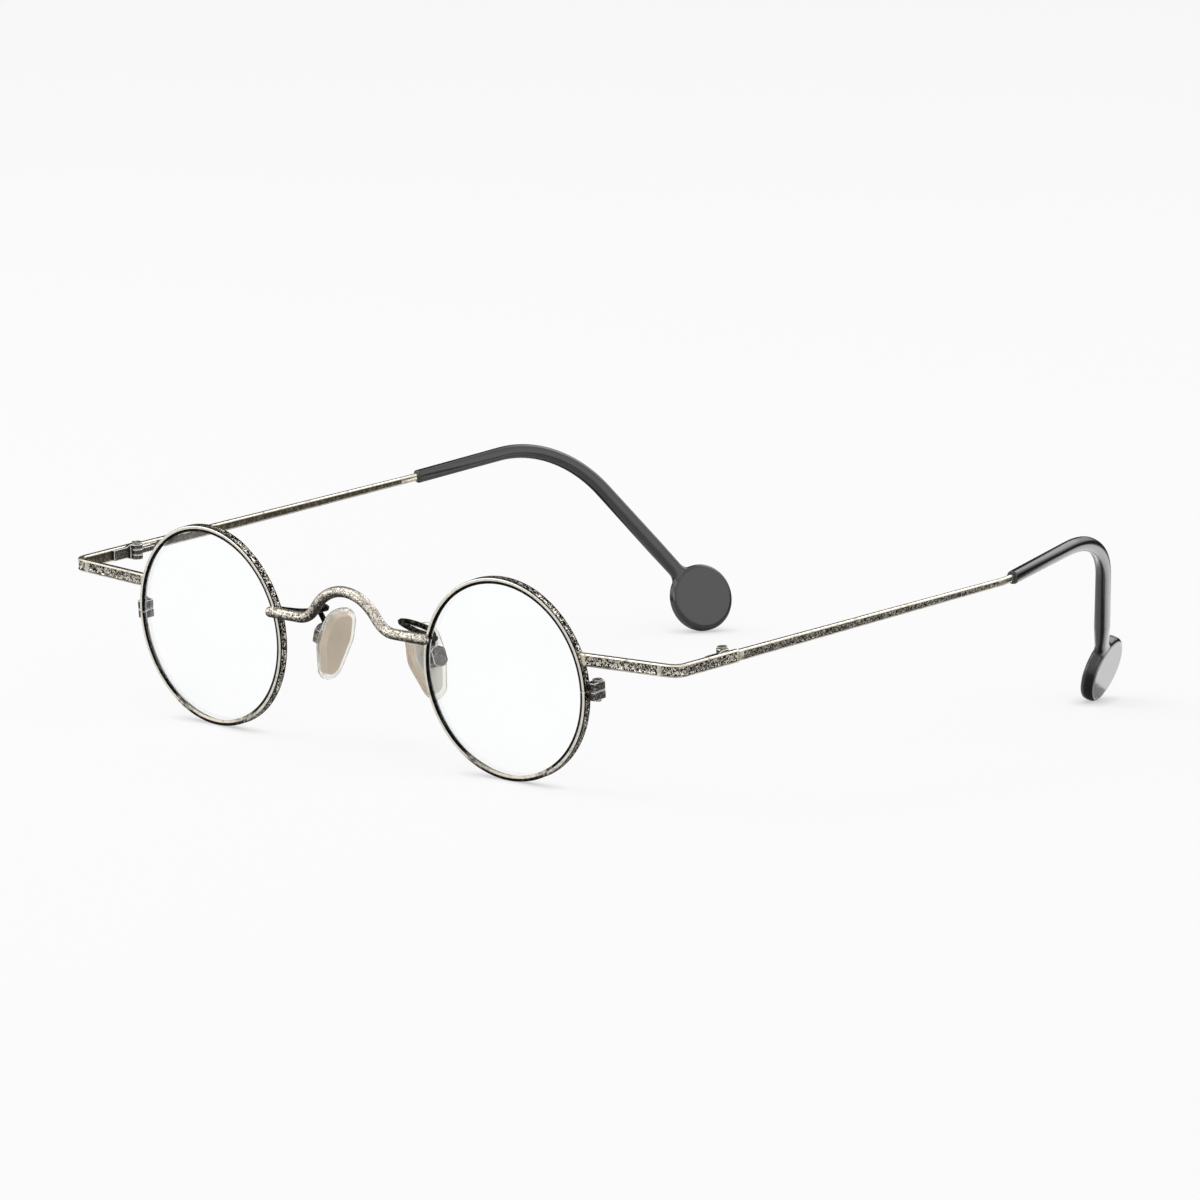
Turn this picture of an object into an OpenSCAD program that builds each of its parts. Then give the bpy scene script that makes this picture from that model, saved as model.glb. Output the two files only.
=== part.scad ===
// Round wire eyeglasses with a crest bridge, screw hinges, rocking nose pads and disc-ended temple tips.
// Lengths are in millimetres. X runs across the front, Y runs back towards the ears and Z points up.
// The frame stands open on a surface, on the bottoms of both rims and on both tip discs, with Z = 0 there.
// Everything is drawn for the wearer's left, which is +X, and mirrored for the right.

/* [Rims and lenses] */
// Outside diameter of a round rim
rim_d = 35; // [31:0.5:39]
// Distance between the two rim centres
rim_spacing = 68; // [65:0.5:72]
// Width of the rim wire seen from the front
rim_face = 0.9; // [0.8:0.05:1.2]
// Depth of the rim wire from front to back
rim_depth = 1.7; // [1.5:0.1:2.2]
// Rounding of the rim wire's edges
rim_round = 0.3; // [0.1:0.05:0.4]
// Depth of the V groove inside the rim
groove_depth = 0.35; // [0.25:0.05:0.45]
// Width of the V groove at its mouth
groove_w = 0.9; // [0.7:0.05:1.2]
// Forward lean of the front
front_tilt = 7.4; // [4:0.2:10]
// Turn of each rim, temple side back
rim_wrap = 2.8; // [0:0.2:5]
// Thickness of a lens
lens_t = 1.3; // [1.1:0.1:1.6]
// Radius of the lens surfaces
lens_curve_r = 120; // [90:5:260]
// Play between a lens and its groove
lens_play = 0.03; // [0.01:0.01:0.05]

/* [Rim locks] */
// Height of the rim split above the rim centre, as an angle
lock_angle = 0; // [-3:0.2:4]
// Height of both lock halves together
lock_h = 3; // [2.6:0.1:3.6]
// Saw cut between the lock halves and the rim ends
lock_gap = 0.12; // [0.08:0.02:0.2]
// Reach of the lock outside the rim
lock_out = 1.5; // [1.4:0.1:1.8]
// Setback of the lock behind the rim's face
lock_setback = 0.9; // [0.5:0.1:1.2]
// Depth of the lock from front to back
lock_depth = 2.9; // [2.6:0.1:3.4]
// Hook of the lock over the back of the rim
lock_hook = 0.3; // [0.2:0.05:0.5]
// Diameter of the rim screw
lock_screw_d = 1; // [0.8:0.1:1.1]
// Length of the rim screw that shows below the lock
lock_screw_end = 0.4; // [0.1:0.05:0.6]

/* [Bridge] */
// Diameter of the bridge wire
bridge_d = 1.9; // [1.6:0.1:2.2]
// Height of the bridge ends above the rim centres
bridge_h = 5.1; // [3:0.1:6.5]
// Rise of the crest above the ends
bridge_rise = 5.85; // [5:0.05:7]
// Radius of the crest
crest_r = 8.5; // [7.5:0.1:9]
// Radius of the two curves at the foot of the crest
foot_r = 4.5; // [3.5:0.1:5]
// Steepest slope of the crest
crest_slope = 50; // [46:1:56]
// Lap of the bridge ends over the rim faces
bridge_lap = 0.9; // [0.6:0.1:1.3]
// Flat filed on the back of each bridge end
bridge_flat = 0.2; // [0.1:0.05:0.35]

/* [End pieces and temples] */
// Distance between the two temple bars
temple_spread = 139; // [134:0.5:144]
// Height of the end pieces on the rims, as an angle
end_angle = 18; // [15:0.5:24]
// Setback of the end piece behind the rim face
end_setback = 0.6; // [0.3:0.05:0.8]
// Backward sweep of the end piece
end_sweep = 7; // [2:0.5:12]
// Bend radius of the end piece at the corner
corner_r = 2.2; // [1.8:0.1:3.5]
// Length of the end piece from the corner to the hinge
return_len = 12.7; // [10.5:0.1:15]
// Height of the end piece
strip_h = 2.2; // [2:0.1:2.5]
// Thickness of the end piece and of the temple at the hinge
bar_t = 1.2; // [1:0.05:1.4]
// Height of the temple at the hinge
bar_h = 1.9; // [1.7:0.1:2.2]
// Thickness of the temple at the tip
bar_end_t = 0.9; // [0.8:0.05:1]
// Height of the temple at the tip
bar_end_h = 1.3; // [1.2:0.05:1.4]
// Rounding of the bar's edges
bar_round = 0.3; // [0.1:0.05:0.35]
// Length of the temple bar from the hinge to the tip
temple_len = 69; // [60:0.5:76]
// Rise of the temples towards the back
temple_rise = 4.6; // [3:0.2:6]

/* [Hinges] */
// Diameter of the hinge barrel
barrel_d = 2; // [1.9:0.05:2.3]
// Height of the hinge barrel
barrel_h = 2.6; // [2.4:0.1:3.2]
// Height of the middle knuckle
middle_h = 0.9; // [0.8:0.05:1.1]
// Distance of the hinge axis in front of the split
hinge_fwd = 1.7; // [1.5:0.05:1.9]
// Length of the leaf on the end piece
front_leaf_len = 5; // [4:0.1:6]
// Length of the leaf on the temple
rear_leaf_len = 3.6; // [3:0.1:5]
// Thickness of the hinge leaves
leaf_t = 0.55; // [0.4:0.05:0.7]
// Diameter of the hinge screw
hinge_screw_d = 1; // [0.9:0.05:1.1]
// Diameter of the hinge and rim screw heads
screw_head_d = 1.7; // [1.5:0.05:1.9]
// Height of the screw heads
screw_head_h = 0.38; // [0.3:0.02:0.5]

/* [Temple tips] */
// Width of a tip at its mouth
tip_w = 1.7; // [1.6:0.05:1.9]
// Height of a tip at its mouth
tip_h = 1.95; // [1.85:0.05:2.2]
// Width of a tip at its disc
neck_w = 2.2; // [1.9:0.05:2.4]
// Height of a tip at its disc
neck_h = 2.3; // [2.1:0.05:2.7]
// Rounding of the tip's edges
tip_round = 0.65; // [0.4:0.05:0.75]
// Straight length of a tip before its bend
tip_straight = 20; // [18:0.5:26]
// Bend radius of a tip
tip_bend_r = 21.7; // [18:0.1:24]
// Bend of a tip
tip_bend = 61; // [56:1:66]
// Inward turn of a tip
tip_toe = 9.9; // [6:0.1:12]
// Upward turn of a tip
tip_lift = 4; // [1:0.2:6]
// Roll of the bend towards the head
tip_roll = 23; // [18:1:28]
// Length of the round wire core inside a tip
core_len = 16; // [10:0.5:17.5]
// Diameter of the wire core
core_d = 0.8; // [0.7:0.05:0.9]
// Diameter of a tip disc
disc_d = 12; // [11:0.1:13.5]
// Thickness of a tip disc
disc_t = 2.5; // [2.4:0.1:3]
// Rounding of the disc's rim
disc_round = 0.8; // [0.5:0.05:1]
// Turn of a disc upright, about the end of its tip
disc_turn = 6.6; // [0:0.2:12]
// Fillet between the tip and its disc
disc_fillet = 1.8; // [1.2:0.1:2.6]

/* [Engraving] */
// Depth of the engraved panels below their plain edges
engrave_depth = 0.08; // [0.04:0.01:0.12]
// Width of the plain edge beside an engraved panel
engrave_edge = 0.3; // [0.2:0.05:0.4]
// Width of the line cut round the front of a rim
front_line_w = 0.16; // [0.1:0.02:0.24]

/* [Nose pads] */
// Distance of a pad's centre from the middle
pad_x = 10.8; // [10:0.1:11.4]
// Distance of a pad's centre behind the rims
pad_y = 5.6; // [5.2:0.1:6.4]
// Depth of a pad's centre below its screw
pad_drop = 0.5; // [0.1:0.1:1.1]
// Depth of the pad screw below the rim centres
pad_low = 1; // [0.4:0.1:1.6]
// Slope of the pads, apart at the bottom
pad_slope = 17; // [12:1:20]
// Splay of the pads, apart at the back
pad_splay = 3; // [0:1:8]
// Length of a pad
pad_len = 13.3; // [12.2:0.1:14]
// Width of a pad
pad_w = 8.6; // [8:0.1:9]
// Thickness of a pad
pad_t = 2.2; // [2:0.1:2.5]
// Clear margin round the pad core
pad_margin = 1.15; // [0.9:0.05:1.4]
// Thickness of the pad core
core_plate_t = 1; // [0.8:0.05:1.2]
// Height of the round pad box
box_d = 3.7; // [3.4:0.1:4.2]
// Width of the pad box along its screw
box_w = 3; // [2.8:0.1:3.6]
// Diameter of the pad arm wire
arm_d = 0.95; // [0.8:0.05:1.1]
// Distance of the pad arm's inner turn from the middle
arm_turn_x = 8.7; // [8.2:0.1:9.4]
// Height of the pad arm's root above the rim centres
arm_root_z = 4.8; // [4.4:0.1:5.3]
// Rise of the pad arm from its root to its inner turn
arm_rise = 1.1; // [0.8:0.1:1.6]
// Diameter of the pad screw
pad_screw_d = 0.9; // [0.8:0.05:1]
// Greatest rock of a pad either way
pad_rock = 7; // [4:1:9]

/* [Hidden] */
$fn = 64;

// Gap left between pieces that are soldered or screwed together
seam = 0.01;
// Radial clearance of a screw in a fixed hole
screw_fit = 0.02;
// Radial clearance of a turning knuckle or lug on its screw
turn_fit = 0.03;
// Clearance between faces that pass each other
slip = 0.06;
// Slack for cutting solids
cut = 0.5;
// Thinning of a bar or wire where it is bent, and the lap of the straight lengths over each bend
bend_thin = 0.01;
bend_lap = 0.06;

rim_r = rim_d / 2;
sight_r = rim_r - rim_face;
groove_r = sight_r + groove_depth;
lens_r = groove_r - lens_play;
lens_sag = lens_curve_r - sqrt(lens_curve_r * lens_curve_r - lens_r * lens_r);

// Turns of a point about the three axes
function turn_x(p, a) = [p.x, p.y * cos(a) - p.z * sin(a), p.y * sin(a) + p.z * cos(a)];
function turn_y(p, a) = [p.x * cos(a) + p.z * sin(a), p.y, p.z * cos(a) - p.x * sin(a)];
function turn_z(p, a) = [p.x * cos(a) - p.y * sin(a), p.x * sin(a) + p.y * cos(a), p.z];

// Height above the surface of the middle of a round slab with rounded edges that stands on its rim
function stand_height(r, t, edge, up) =
  (r - edge) * sqrt(1 - up * up) + (t / 2 - edge) * abs(up) + edge;

front_z = stand_height(rim_r, rim_depth, rim_round, cos(rim_wrap) * sin(front_tilt));

function rim_to_front(p) = [rim_spacing / 2, 0, 0] + turn_z(p, rim_wrap);
function front_to_world(p) = [0, 0, front_z] + turn_x(p, front_tilt);

// Where the middle line of the end piece meets the rim
end_y = end_setback + bar_t / 2 - rim_depth / 2;
end_root = front_to_world(rim_to_front([rim_r * cos(end_angle), end_y, rim_r * sin(end_angle)]));

// Middle line of the end piece, from its root: out to the corner, round it and back to the hinge
bar_x = temple_spread / 2 - end_root.x;
corner_x = bar_x - corner_r * (1 - sin(end_sweep));
corner_y = corner_x * tan(end_sweep);
split_y = corner_y + corner_r * cos(end_sweep) + return_len;

// Hinge axis, measured from the split on the middle line of the bar
barrel_r = barrel_d / 2;
hinge_in = bar_t / 2 + barrel_r + slip;

function bar_to_world(p) = end_root + turn_x([bar_x, split_y, 0] + p, temple_rise);
function tip_turn(p) = turn_z(turn_x(turn_y(p, tip_roll), tip_lift), tip_toe);
function tip_to_world(p) = bar_to_world([0, temple_len, 0] + tip_turn(p));

// Direction in the disc's frame, turned into the world's
function disc_to_world(p) = turn_x(tip_turn(turn_x(turn_y(p, -disc_turn), -tip_bend)), temple_rise);

// The straight drop of a tip is as long as it takes for its disc to touch the surface
disc_z = stand_height(disc_d / 2, disc_t, disc_round, disc_to_world([1, 0, 0]).z);
bend_end = [0, tip_straight + tip_bend_r * sin(tip_bend), -tip_bend_r * (1 - cos(tip_bend))];
drop_dir = [0, cos(tip_bend), -sin(tip_bend)];
bend_end_z = tip_to_world(bend_end).z;
drop_len = (bend_end_z - disc_z) / (bend_end_z - tip_to_world(bend_end + drop_dir).z);
bend_len = tip_bend_r * tip_bend * PI / 180;

// Bar inside the mouth of the tip, and the play round it
socket_len = 2.5;
socket_play = 0.05;
kink_run = 1.5;
kink_lap = 0.4;

// Rim lock screw, measured from the rim's axis and mid depth
lock_y = lock_setback - rim_depth / 2;
lock_screw_x = rim_r + lock_out / 2 + 0.05;
lock_screw_y = lock_y + lock_depth / 2 + 0.2;

// Nose pad mount: lug, box and screw, measured from the screw's place in the pad's middle plane
lug_r = pad_screw_d / 2 + 0.4;
lug_w = 1.3;
box_gap = box_d / 2 * sin(pad_rock) + 0.1;
box_in_x = pad_t / 2 + box_gap;
pad_axis_x = box_in_x + lug_r;
box_floor_x = pad_axis_x + lug_r + slip;
box_out_x = box_floor_x + 0.45;
pad_head_d = 1.7;
pad_head_h = 0.35;

function pad_to_front(p) = [pad_x, pad_y, -pad_low] + turn_z(turn_y(p, -pad_slope), -pad_splay);

// Middle line of the pad arm in the front's frame: in from the rim, round the turn, over the pad and down to its box
arm_root_x = rim_spacing / 2 - sqrt(sight_r * sight_r - arm_root_z * arm_root_z);
arm_root_y = (arm_root_x - rim_spacing / 2) * tan(rim_wrap) + rim_depth / 2 / cos(rim_wrap) + arm_d / 2 + 2 * seam;
arm_seat = pad_to_front([(box_in_x + box_out_x) / 2, 0, box_d / 2]);
ARM_POINTS = [
  [arm_root_x + 0.3, arm_root_y, arm_root_z],
  [(arm_root_x + arm_turn_x) / 2, arm_root_y + 0.5, arm_root_z + arm_rise * 0.15],
  [arm_turn_x, arm_root_y + 1.1, arm_root_z + arm_rise],
  [arm_turn_x + 1, arm_root_y + 1.8, arm_root_z + arm_rise * 1.1],
  [(arm_turn_x + arm_seat.x) / 2 + 1.2, (arm_root_y + arm_seat.y) / 2 + 0.6, arm_seat.z + 3.7],
  arm_seat + [0.7, -0.5, 2.5],
  arm_seat + [0.3, -0.1, 1.1],
  arm_seat
];

module on_left() {
  children();
}

module on_right() {
  mirror([1, 0, 0]) children();
}

module front_frame() {
  translate([0, 0, front_z]) rotate([front_tilt, 0, 0]) children();
}

// Frame of the left rim: X out, Y along the rim's axis towards the back, Z up
module rim_frame() {
  front_frame() translate([rim_spacing / 2, 0, 0]) rotate([0, 0, rim_wrap]) children();
}

// Frame of the left rim turned so that X passes through the rim's split
module lock_frame() {
  rim_frame() rotate([0, -lock_angle, 0]) children();
}

// Frame of the left end piece, with its origin at the root on the rim
module end_frame() {
  translate(end_root) rotate([temple_rise, 0, 0]) children();
}

// Frame of the left hinge, with its origin at the split on the bar's middle line
module split_frame() {
  end_frame() translate([bar_x, split_y, 0]) children();
}

module hinge_axis() {
  split_frame() translate([-hinge_in, -hinge_fwd, 0]) children();
}

// Frame at the mouth of the left tip, with Y along the tip and no roll
module mouth_frame() {
  split_frame() translate([0, temple_len, 0]) rotate([0, 0, tip_toe]) rotate([tip_lift, 0, 0]) children();
}

module tip_frame() {
  mouth_frame() rotate([0, tip_roll, 0]) children();
}

// Frame of the disc, with Y along the drop and Z across it
module disc_frame() {
  tip_frame() translate(bend_end + drop_dir * drop_len) rotate([-tip_bend, 0, 0]) rotate([0, -disc_turn, 0])
    children();
}

// Frame of the left pad mount, with X square to the pad and away from the nose
module pad_frame() {
  front_frame() translate([pad_x, pad_y, -pad_low]) rotate([0, 0, -pad_splay]) rotate([0, -pad_slope, 0])
    children();
}

module rounded_rect(w, h, r) {
  square([w, h - 2 * r], center = true);
  square([w - 2 * r, h], center = true);
  for (x = [-1, 1], y = [-1, 1]) translate([x * (w / 2 - r), y * (h / 2 - r)]) circle(r = r);
}

// Stands a profile drawn in X and Y so that its extrusion runs along +Y
module along_y(len) {
  rotate([-90, 0, 0]) linear_extrude(len) children();
}

// Revolves a profile round the Y axis, with the profile's Y turned to face forward
module round_y(angle = 360, start = 0) {
  rotate([90, 0, 0]) rotate([0, 0, start]) rotate_extrude(angle = angle) children();
}

module rim_profile() {
  difference() {
    translate([rim_r - rim_face / 2, 0]) rounded_rect(rim_face, rim_depth, rim_round);
    translate([rim_r - rim_face / 2, rim_depth / 2]) circle(d = front_line_w);
    translate([rim_r - engrave_depth, engrave_edge - rim_depth / 2]) square([1, rim_depth - 2 * engrave_edge]);
    polygon([[sight_r - cut, -groove_w / 2], [sight_r, -groove_w / 2], [groove_r, 0],
             [sight_r, groove_w / 2], [sight_r - cut, groove_w / 2]]);
  }
}

// Rim wire, bent round and open at the split
module rim() {
  split = 2 * asin(lock_gap / 2 / rim_r);
  color("silver") rim_frame() round_y(360 - split, lock_angle + split / 2) rim_profile();
}

// Meniscus lens with a bevelled edge that fits the groove
module lens() {
  body_r = sight_r - lens_play;
  bevel_w = groove_w - 2 * lens_play;
  color("lightcyan", 0.4) rim_frame() difference() {
    intersection() {
      union() {
        round_y() translate([0, -lens_t]) square([body_r, 3 * lens_t]);
        round_y() polygon([[0, -bevel_w / 2], [body_r, -bevel_w / 2], [lens_r, 0], [body_r, bevel_w / 2],
                           [0, bevel_w / 2]]);
      }
      translate([0, lens_curve_r - lens_sag - lens_t / 2, 0]) sphere(r = lens_curve_r, $fn = 180);
    }
    translate([0, lens_curve_r - lens_sag + lens_t / 2, 0]) sphere(r = lens_curve_r, $fn = 180);
  }
}

// Block on the rim's outside that hooks over its back, from the split upwards
module lock_half() {
  reach = lock_out + lock_hook;
  difference() {
    translate([rim_r - lock_hook + reach / 2, lock_y + lock_depth / 2, lock_gap / 2])
      linear_extrude((lock_h - lock_gap) / 2) rounded_rect(reach, lock_depth, 0.25);
    translate([0, rim_depth / 2 + seam, 0]) rotate([90, 0, 0]) cylinder(r = rim_r + seam, h = 2 * rim_depth);
    translate([lock_screw_x, lock_screw_y, -cut]) cylinder(d = lock_screw_d + 2 * screw_fit, h = lock_h);
  }
}

module rim_lock_upper() {
  color("dimgray") lock_frame() lock_half();
}

module rim_lock_lower() {
  color("dimgray") lock_frame() mirror([0, 0, 1]) lock_half();
}

// Screw along Z with its head's underside at the origin and a slot across the head
module slotted_screw(d, len, head_d, head_h) {
  difference() {
    union() {
      translate([0, 0, -len]) cylinder(d = d, h = len + head_h / 2);
      cylinder(d = head_d, h = head_h);
    }
    translate([-head_d, -head_d * 0.09, head_h * 0.55]) cube([2 * head_d, head_d * 0.18, head_h]);
  }
}

module rim_screw() {
  color("gray") lock_frame() translate([lock_screw_x, lock_screw_y, lock_h / 2 + seam]) rotate([0, 0, 35])
    slotted_screw(lock_screw_d, lock_h + lock_screw_end, screw_head_d, screw_head_h);
}

// Arc of round wire in the XZ plane, centred at [x, z] and running from angle a by the given sweep
module wire_arc(x, z, r, a, sweep) {
  translate([x, 0, z]) round_y(sweep, a) translate([r, 0]) circle(d = bridge_d - bend_thin);
}

// Rod along Z with a round end
module domed_rod(d, len) {
  rotate_extrude() intersection() {
    union() {
      square([d / 2, len - d / 2]);
      translate([0, len - d / 2]) circle(d = d);
    }
    square([d, len + d]);
  }
}

// Crest bridge: domed flat ends, a foot curve on each side and the crest
module bridge() {
  slant = (bridge_rise - (crest_r + foot_r) * (1 - cos(crest_slope))) / sin(crest_slope);
  foot_x = (crest_r + foot_r) * sin(crest_slope) + slant * cos(crest_slope);
  crest_z = bridge_h + bridge_rise - crest_r;
  rim_edge_x = rim_spacing / 2 - sqrt(rim_r * rim_r - bridge_h * bridge_h);
  end_x = rim_edge_x + bridge_lap - bridge_d / 4;
  face_y = (rim_edge_x - rim_spacing / 2) * tan(rim_wrap) - rim_depth / 2 / cos(rim_wrap);
  wire_y = face_y - bridge_d / 2 + bridge_flat;
  color("silver") difference() {
    front_frame() translate([0, wire_y, 0]) {
      wire_arc(0, crest_z, crest_r, 90 - crest_slope, 2 * crest_slope);
      for (side = [0, 1]) mirror([side, 0, 0]) {
        translate([crest_r * sin(crest_slope), 0, crest_z + crest_r * cos(crest_slope)])
          rotate([0, 90 + crest_slope, 0]) translate([0, 0, -bend_lap])
            cylinder(d = bridge_d, h = slant + 2 * bend_lap);
        wire_arc(foot_x, bridge_h + foot_r, foot_r, 270 - crest_slope, crest_slope);
        translate([foot_x - bend_lap, 0, bridge_h]) rotate([0, 90, 0])
          domed_rod(bridge_d, end_x + bridge_d / 2 - foot_x + bend_lap);
      }
    }
    for (side = [0, 1]) mirror([side, 0, 0]) rim_frame()
      translate([-rim_r - cut, -rim_depth / 2 - seam, 0]) cube([rim_face + 3, bridge_d, rim_r]);
  }
}

module strip_profile(thin = 0) {
  rounded_rect(bar_t - thin, strip_h - thin, bar_round);
}

// Sunk panel in a face towards +X, running along +Y between plain edges
module panel_cut(height, len) {
  translate([-engrave_depth, 0, engrave_edge - height / 2]) cube([1, len, height - 2 * engrave_edge]);
}

// Flat bar from the rim out to the corner and back to the hinge
module end_piece() {
  inside = 1;
  rim_edge_margin = 0.8;
  corner_margin = 0.6;
  run = corner_x / cos(end_sweep);
  color("silver") difference() {
    end_frame() {
      rotate([0, 0, end_sweep - 90]) translate([0, -inside, 0]) along_y(run + inside + bend_lap) strip_profile();
      translate([corner_x, corner_y, 0]) rotate([0, 0, end_sweep])
        translate([0, corner_r, 0]) rotate([0, 0, -90]) rotate_extrude(angle = 90 - end_sweep)
          translate([corner_r, 0]) strip_profile(bend_thin);
      translate([bar_x, split_y - return_len - bend_lap, 0]) along_y(return_len + bend_lap) strip_profile();
    }
    rim_frame() translate([0, rim_depth, 0]) rotate([90, 0, 0]) cylinder(r = rim_r + seam, h = 2 * rim_depth);
    end_frame() rotate([0, 0, end_sweep - 90]) translate([bar_t / 2, rim_edge_margin, 0])
      panel_cut(strip_h, run - rim_edge_margin - corner_margin);
    end_frame() translate([bar_x + bar_t / 2, split_y - return_len + corner_margin, 0])
      panel_cut(strip_h, return_len - 2 * corner_margin);
  }
}

// Leaf on the end piece with the top and bottom knuckles
module hinge_front() {
  face = bar_t / 2 + seam;
  color("dimgray") split_frame() difference() {
    union() {
      translate([-hinge_in, -hinge_fwd, -barrel_h / 2]) cylinder(r = barrel_r, h = barrel_h);
      translate([-hinge_in, -hinge_fwd - barrel_r, -barrel_h / 2])
        cube([hinge_in - face, barrel_r * 1.5, barrel_h]);
      translate([-face - leaf_t, -hinge_fwd, 0]) rotate([90, 0, 90]) linear_extrude(leaf_t)
        polygon([[0, -barrel_h / 2], [0, barrel_h / 2], [-barrel_r, barrel_h / 2],
                 [-barrel_d, bar_h / 2], [-front_leaf_len, bar_h / 2], [-front_leaf_len, -bar_h / 2],
                 [-barrel_d, -bar_h / 2], [-barrel_r, -barrel_h / 2]]);
    }
    translate([-hinge_in, -hinge_fwd, -middle_h / 2 - slip]) cylinder(r = barrel_r + slip, h = middle_h + 2 * slip);
    translate([-hinge_in - barrel_d, -hinge_fwd, -middle_h / 2 - slip])
      cube([barrel_d + hinge_in - face + cut, barrel_d, middle_h + 2 * slip]);
    translate([-hinge_in, -hinge_fwd, -barrel_h])
      cylinder(d = hinge_screw_d + 2 * screw_fit, h = 2 * barrel_h);
  }
}

// Leaf on the temple with the middle knuckle
module hinge_temple() {
  face = bar_t / 2 + seam;
  color("dimgray") split_frame() difference() {
    union() {
      translate([-hinge_in, -hinge_fwd, -middle_h / 2]) cylinder(r = barrel_r, h = middle_h);
      translate([-hinge_in - barrel_r / 2, -hinge_fwd, -middle_h / 2])
        cube([barrel_r * 1.5, hinge_fwd + rear_leaf_len * 0.6, middle_h]);
      translate([-face - leaf_t, 2 * slip, -bar_h / 2 + bar_round])
        cube([leaf_t, rear_leaf_len, bar_h - 2 * bar_round]);
    }
    translate([-hinge_in, -hinge_fwd, -barrel_h])
      cylinder(d = hinge_screw_d + 2 * turn_fit, h = 2 * barrel_h);
  }
}

module hinge_screw() {
  color("gray") hinge_axis() translate([0, 0, barrel_h / 2 + seam]) rotate([0, 0, 20])
    slotted_screw(hinge_screw_d, barrel_h, screw_head_d, screw_head_h);
}

// Thin slice of the temple bar, upright and facing +Y, thinned by the given amount
module bar_slice(t, h, thin = 0) {
  along_y(0.02) rounded_rect(t - thin, h - thin, bar_round, $fn = 24);
}

// Temple bar, tapered to the tip and turned in at the mouth, with its wire core
module temple() {
  panel_margin = 1.2;
  color("silver") {
    split_frame() difference() {
      hull() {
        translate([0, slip, 0]) bar_slice(bar_t, bar_h);
        translate([0, temple_len - kink_run, 0]) bar_slice(bar_end_t, bar_end_h);
      }
      hull() {
        translate([bar_t / 2, panel_margin, 0]) panel_cut(bar_h, 0.02);
        translate([bar_end_t / 2, temple_len - kink_run - panel_margin, 0]) panel_cut(bar_end_h, 0.02);
      }
    }
    hull() {
      split_frame() translate([0, temple_len - kink_run - kink_lap, 0]) bar_slice(bar_end_t, bar_end_h, bend_thin);
      mouth_frame() translate([0, kink_run, 0]) bar_slice(bar_end_t, bar_end_h, bend_thin);
    }
    mouth_frame() translate([0, kink_run - kink_lap, 0]) along_y(socket_len + kink_lap)
      rounded_rect(bar_end_t - 2 * bend_thin, bar_end_h - 2 * bend_thin, bar_round);
    mouth_frame() translate([0, kink_run + socket_len - kink_lap, 0]) along_y(core_len - socket_len + kink_lap)
      circle(d = core_d);
  }
}

// Skins a row of rings of points, each ring running the same way round, into one closed solid
module skin(rings) {
  sides = len(rings[0]);
  last = len(rings) - 1;
  walls = [
    for (i = [0:last - 1], k = [0:sides - 1])
      let (a = i * sides + k, b = i * sides + (k + 1) % sides)
        each [[a, b + sides, b], [a, a + sides, b + sides]]
  ];
  ends = [[for (k = [0:sides - 1]) k], [for (k = [sides - 1:-1:0]) last * sides + k]];
  polyhedron(points = [for (ring = rings) each ring], faces = concat(walls, ends));
}

// Points round a rectangle of height h and width w with rounded corners
function rounded_ring(h, w, r, steps = 4) = [
  for (q = [0:3], k = [0:steps - 1])
    let (t = 90 * (q + k / (steps - 1)))
      [(q == 0 || q == 3 ? 1 : -1) * (h / 2 - r) + r * cos(t), (q < 2 ? 1 : -1) * (w / 2 - r) + r * sin(t)]
];

// Tip's middle line at a distance s from the end of the bar: its bend, place, twist, height and width
function tip_bend_at(s) = max(0, min(tip_bend, (s - tip_straight) / tip_bend_r * 180 / PI));

function tip_place_at(s) =
  s <= tip_straight ? [0, s, 0] :
  s <= tip_straight + bend_len ?
    [0, tip_straight + tip_bend_r * sin(tip_bend_at(s)), tip_bend_r * (cos(tip_bend_at(s)) - 1)] :
  bend_end + drop_dir * (s - tip_straight - bend_len);

function tip_twist_at(s) =
  s < tip_straight ? -tip_roll * (tip_straight - s) / (tip_straight - kink_run) :
  -disc_turn * max(0, (s - tip_straight - bend_len) / drop_len);

disc_s = tip_straight + bend_len + drop_len;
neck = sqrt(pow(disc_d / 2 + disc_fillet, 2) - pow(neck_h / 2 + disc_fillet, 2));
neck_touch = neck * disc_d / (disc_d + 2 * disc_fillet);

function tip_share(s) = (s - kink_run) / (disc_s - neck - kink_run);

function tip_height_at(s) =
  s < disc_s - neck ? tip_h + (neck_h - tip_h) * tip_share(s) :
  neck_h + 2 * disc_fillet - 2 * sqrt(pow(disc_fillet, 2) - pow(neck - max(disc_s - s, neck_touch), 2));

function tip_width_at(s) = tip_w + (neck_w - tip_w) * min(1, tip_share(s));

function tip_ring(s) =
  let (
    a = tip_bend_at(s), t = tip_twist_at(s), out = [1, 0, 0], up = [0, sin(a), cos(a)],
    across = out * cos(t) - up * sin(t), along = out * sin(t) + up * cos(t)
  )
    [
      for (p = rounded_ring(tip_height_at(s), tip_width_at(s), tip_round))
        tip_place_at(s) + along * p.x + across * p.y
    ];

// Evenly spaced stations from one distance to another, without the last
function stations(from, to, n) = [for (i = [0:n - 1]) from + (to - from) * i / n];

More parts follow.
